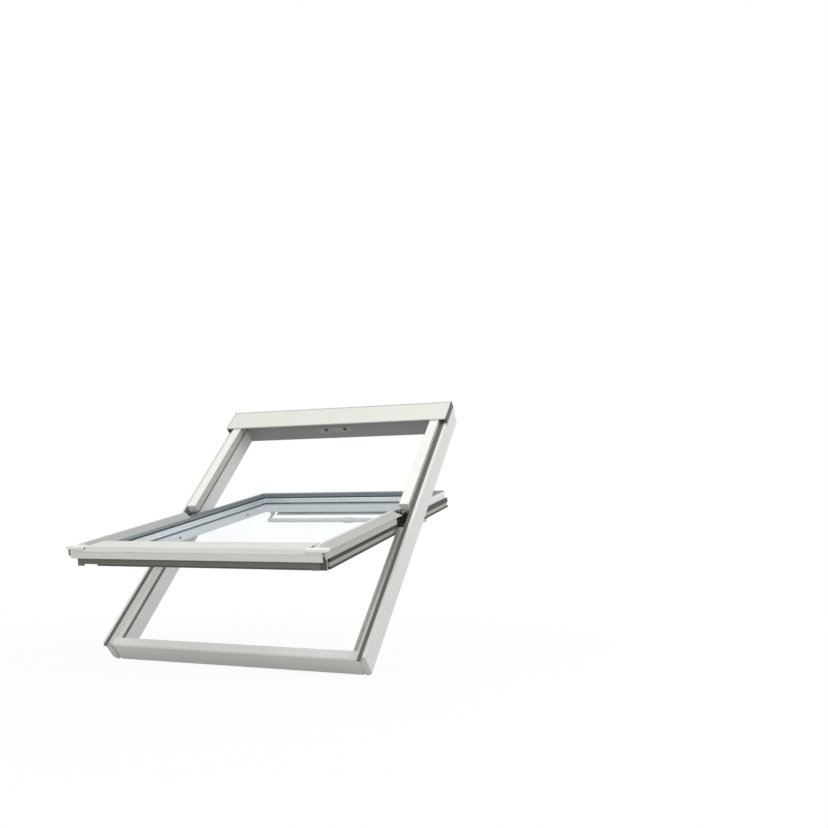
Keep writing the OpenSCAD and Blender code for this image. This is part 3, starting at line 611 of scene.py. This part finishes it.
def cover_edge(side):
    """A push-on rubber edge along the inner flange of an upper cover."""
    low, high = local_box(side + "_upper_cover")
    seal_low, seal_high = local_box(side + "_jamb_seal")
    flange = low.x if low.x > 0 else high.x
    sign = math.copysign(1, flange)
    # The flange ends as far above the seal as the seal is high
    rim = 2 * seal_high.z - seal_low.z
    near, far = flange - sign * EDGE_PROUD, flange + sign * EDGE_THICK
    foot, top = rim - EDGE_HANG, rim + EDGE_GRIP
    points = [(near, foot), (far, foot), (far, top), (near, top)]
    bm = extruded(points, SLOPE, low.y, seal_high.y - EDGE_SHORT)
    break_edges(bm, EDGE_RADIUS["seal"])
    piece = add_piece(bm, side + "_cover_edge", "frame", FINISHES["seal"])
    smooth_by_area(piece)


SHAPED = ["left_edge_strip", "right_edge_strip", "left_side_seal", "right_side_seal"]
for side in ("left", "right"):
    ribbed_strip(side + "_edge_strip")
    lipped_seal(side + "_side_seal")
    cover_edge(side)

for node in frame["nodes"]:
    if node not in SHAPED:
        rounded_node(node, EDGE_RADIUS[NODE_SLOT[node]])


# Screws

SCREW_SIDES = 24
LOBES = 6
LOBE_WAIST = 0.72
SOCKET_INSET = 0.3
SOCKET_DEPTH = 0.6
HEAD_ROUND = 0.55


def screw_head(radius, height):
    """A pan head with a six-lobed socket, standing on its own origin along +Z."""
    bm = bmesh.new()
    bmesh.ops.create_cone(bm, segments=SCREW_SIDES, radius1=radius, radius2=radius, depth=height,
                          cap_ends=True)
    bmesh.ops.translate(bm, verts=bm.verts, vec=(0, 0, height / 2))
    rim = [edge for edge in bm.edges if all(vert.co.z > height * 0.9 for vert in edge.verts)]
    bmesh.ops.bevel(bm, geom=rim, offset=height * HEAD_ROUND, segments=3, profile=0.5,
                    affect="EDGES", material=-1)
    bmesh.ops.recalc_face_normals(bm, faces=bm.faces)
    top = max(bm.faces, key=lambda face: face.calc_center_median().z + face.normal.z)
    bmesh.ops.inset_region(bm, faces=[top], thickness=radius * SOCKET_INSET, use_even_offset=True)
    for index, vert in enumerate(top.verts):
        waist = LOBE_WAIST if index % (SCREW_SIDES // LOBES) < 2 else 1.0
        vert.co.x *= waist
        vert.co.y *= waist
    socket = bmesh.ops.extrude_face_region(bm, geom=[top])
    sunk = [item for item in socket["geom"] if isinstance(item, bmesh.types.BMVert)]
    bmesh.ops.translate(bm, verts=sunk, vec=(0, 0, -height * SOCKET_DEPTH))
    bmesh.ops.delete(bm, geom=[top], context="FACES_ONLY")
    return bm


def screws(name, body, base, places, direction, head, slot):
    """A group of equal screws, each with its head facing a direction of the base."""
    joined = bmesh.new()
    facing = Vector(direction).to_track_quat("Z", "Y").to_matrix().to_4x4()
    for place in places:
        single = screw_head(*head)
        bmesh.ops.transform(single, matrix=base @ Matrix.Translation(place) @ facing, verts=single.verts)
        mesh = bpy.data.meshes.new(name)
        single.to_mesh(mesh)
        single.free()
        joined.from_mesh(mesh)
        bpy.data.meshes.remove(mesh)
    piece = add_piece(joined, name, body, FINISHES[slot])
    smooth_by_area(piece)


# Radius and height of each kind of screw head
BRACKET_HEAD = (2.8 * MM, 1.6 * MM)
BAR_HEAD = (2.4 * MM, 1.2 * MM)
STRIKER_HEAD = (3.2 * MM, 1.1 * MM)
LOCK_HEAD = (2.6 * MM, 0.7 * MM)
CASING_HEAD = (3.4 * MM, 1.6 * MM)

# Places of the screws from the edges of what they hold
BRACKET_SIDE = 4 * MM
BRACKET_END = 5 * MM
BRACKET_FOOT = 3 * MM
BAR_SIDE = 10.5 * MM
BAR_PLATE = 2 * MM
BAR_LOW = 4.5 * MM
BAR_HIGH = 12 * MM
PLATE_END = 9 * MM
CASING_SIDE = 60 * MM
CASING_FOOT = 14 * MM
CASING_COUNT = 4


def side_screws():
    """Two screws in the foot of each hinge bracket and two in each bar bracket."""
    for side, sign in (("left", -1), ("right", 1)):
        low, high = local_box(side + "_hinge_bracket")
        edge = high.x - BRACKET_SIDE if sign > 0 else low.x + BRACKET_SIDE
        middle = (low.y + high.y) / 2
        reach = (high.y - low.y) / 2 - BRACKET_END
        foot = low.z + BRACKET_FOOT
        screws(side + "_bracket_screws", "frame", SLOPE,
               [(edge, middle - reach, foot), (edge, middle + reach, foot)], (0, 0, 1),
               BRACKET_HEAD, "steel")
        low, high = local_box(side + "_bar_bracket")
        middle = low.x + BAR_SIDE if sign > 0 else high.x - BAR_SIDE
        plate = high.z - BAR_PLATE
        screws(side + "_bar_screws", "sash", SASH,
               [(middle, low.y + BAR_LOW, plate), (middle, high.y - BAR_HIGH, plate)], (0, 0, -1),
               BAR_HEAD, "white_plastic")


def lock_screws():
    """Screws at the ends of the striker plate and of the lock case's face."""
    low, high = local_box("striker_plate")
    middle = (low.z + high.z) / 2
    screws("striker_screws", "frame", SLOPE,
           [(low.x + PLATE_END, low.y, middle), (high.x - PLATE_END, low.y, middle)], (0, -1, 0),
           STRIKER_HEAD, "steel")
    low, high = local_box("lock_case")
    middle = (low.z + high.z) / 2
    screws("lock_screws", "sash", SASH,
           [(low.x + PLATE_END, high.y, middle), (high.x - PLATE_END, high.y, middle)], (0, 1, 0),
           LOCK_HEAD, "steel")


def casing_screws():
    """A row of screws through the casing's rear flange into the top rail."""
    low, high = local_box("top_casing")
    reach = high.x - CASING_SIDE
    height = low.z + CASING_FOOT
    pitch = 2 * reach / (CASING_COUNT - 1)
    places = [(step * pitch - reach, high.y, height) for step in range(CASING_COUNT)]
    screws("casing_screws", "frame", SLOPE, places, (0, 1, 0), CASING_HEAD, "steel")


side_screws()
lock_screws()
casing_screws()


# Stage: white ground, soft light and the photograph's view

FLOOR_HALF = 30.0
FLOOR_GAP = 0.5 * MM
FADE_START = 0.5
FADE_LENGTH = 1.3
SHADOW_SHARE = 0.08
FLOOR_TONE = srgb(246, 246, 246)
GROUND_BOUNCE = srgb(190, 190, 190)


def seen_directly(fin):
    """1 for rays from the eye, a mirror or through glass, and 0 for light that spreads."""
    rays = [fin.node("ShaderNodeLightPath", out=name)
            for name in ("Is Camera Ray", "Is Glossy Ray", "Is Transmission Ray")]
    return fin.node("ShaderNodeMath", {"operation": "MINIMUM"}, {0: rays[0] + rays[1] + rays[2], 1: 1.0})


def white_floor():
    """A pale floor that keeps a soft shadow near the window and melts into the white ground."""
    material, fin = new_finish("white_floor")
    distance = fin.node("ShaderNodeVectorMath", {"operation": "LENGTH"}, {0: fin.object_place()}, out="Value")
    far = fin.node("ShaderNodeMapRange", {"interpolation_type": "SMOOTHSTEP"},
                   {"Value": distance, "From Min": FADE_START, "From Max": FADE_START + FADE_LENGTH})
    seen = seen_directly(fin)
    diffuse = fin.node("ShaderNodeBsdfDiffuse", {},
                       {"Color": fin.blend(seen, GROUND_BOUNCE, FLOOR_TONE)})
    glow = fin.node("ShaderNodeEmission", {}, {"Color": (1, 1, 1, 1), "Strength": 1.0})
    share = seen * (1.0 - SHADOW_SHARE * (1.0 - far))
    mixed = fin.node("ShaderNodeMixShader", {}, {0: share, 1: diffuse, 2: glow})
    fin.node("ShaderNodeOutputMaterial", {}, {"Surface": mixed})
    bm = bmesh.new()
    bmesh.ops.create_grid(bm, x_segments=1, y_segments=1, size=FLOOR_HALF)
    mesh = bpy.data.meshes.new("floor")
    bm.to_mesh(mesh)
    bm.free()
    mesh.materials.append(material)
    floor = bpy.data.objects.new("floor", mesh)
    floor.location = (0, 0, CAD_BOX[0].z - FLOOR_GAP)
    bpy.context.scene.collection.objects.link(floor)


SKY_LIGHT = 0.5


def white_world():
    """A plain white ground for the eye, and softer light from all round."""
    world = bpy.data.worlds.new("white_world")
    bpy.context.scene.world = world
    world.use_nodes = True
    world.node_tree.nodes.clear()
    fin = Finish(world.node_tree)
    light = fin.node("ShaderNodeBackground", {}, {"Color": (1, 1, 1, 1), "Strength": SKY_LIGHT})
    ground = fin.node("ShaderNodeBackground", {}, {"Color": (1, 1, 1, 1), "Strength": 1.0})
    mixed = fin.node("ShaderNodeMixShader", {}, {0: seen_directly(fin), 1: light, 2: ground})
    fin.node("ShaderNodeOutputWorld", {}, {"Surface": mixed})


def soft_lamp(name, place, target, size, power):
    """A square lamp turned towards a target."""
    lamp = bpy.data.lights.new(name, "AREA")
    lamp.shape = "SQUARE"
    lamp.size = size
    lamp.energy = power
    holder = bpy.data.objects.new(name, lamp)
    holder.location = place
    holder.rotation_euler = (Vector(target) - Vector(place)).to_track_quat("-Z", "Y").to_euler()
    bpy.context.scene.collection.objects.link(holder)


WINDOW_MIDDLE = (0.0, 0.3, 0.35)
# Place, width and power of each lamp
LAMPS = {
    "overhead": ((-0.6, -1.4, 3.0), 2.6, 34.0),
    "right_side": ((2.2, 0.3, 1.7), 1.6, 24.0),
    "front_fill": ((0.9, -3.4, 0.7), 2.4, 34.0),
}
CAMERA_PLACE = (1.29632, -2.11817, 0.35135)
CAMERA_AZIMUTH = math.radians(22.573)
CAMERA_RISE = math.radians(4.979)
CAMERA_LENS = 40.342
CAMERA_SHIFT = (0.0411, 0.0362)
SENSOR = 36.0


def photo_camera():
    """The photograph's view: from the right of the window, low and looking slightly up."""
    data = bpy.data.cameras.new("photo_view")
    data.lens = CAMERA_LENS
    data.sensor_width = SENSOR
    data.shift_x, data.shift_y = CAMERA_SHIFT
    camera = bpy.data.objects.new("photo_view", data)
    camera.location = CAMERA_PLACE
    ahead = Vector((-math.sin(CAMERA_AZIMUTH) * math.cos(CAMERA_RISE),
                    math.cos(CAMERA_AZIMUTH) * math.cos(CAMERA_RISE),
                    math.sin(CAMERA_RISE)))
    camera.rotation_euler = ahead.to_track_quat("-Z", "Y").to_euler()
    bpy.context.scene.collection.objects.link(camera)
    bpy.context.scene.camera = camera


white_floor()
white_world()
for lamp_name, (lamp_place, lamp_size, lamp_power) in LAMPS.items():
    soft_lamp(lamp_name, lamp_place, WINDOW_MIDDLE, lamp_size, lamp_power)
photo_camera()
bpy.context.scene.view_settings.view_transform = "Standard"
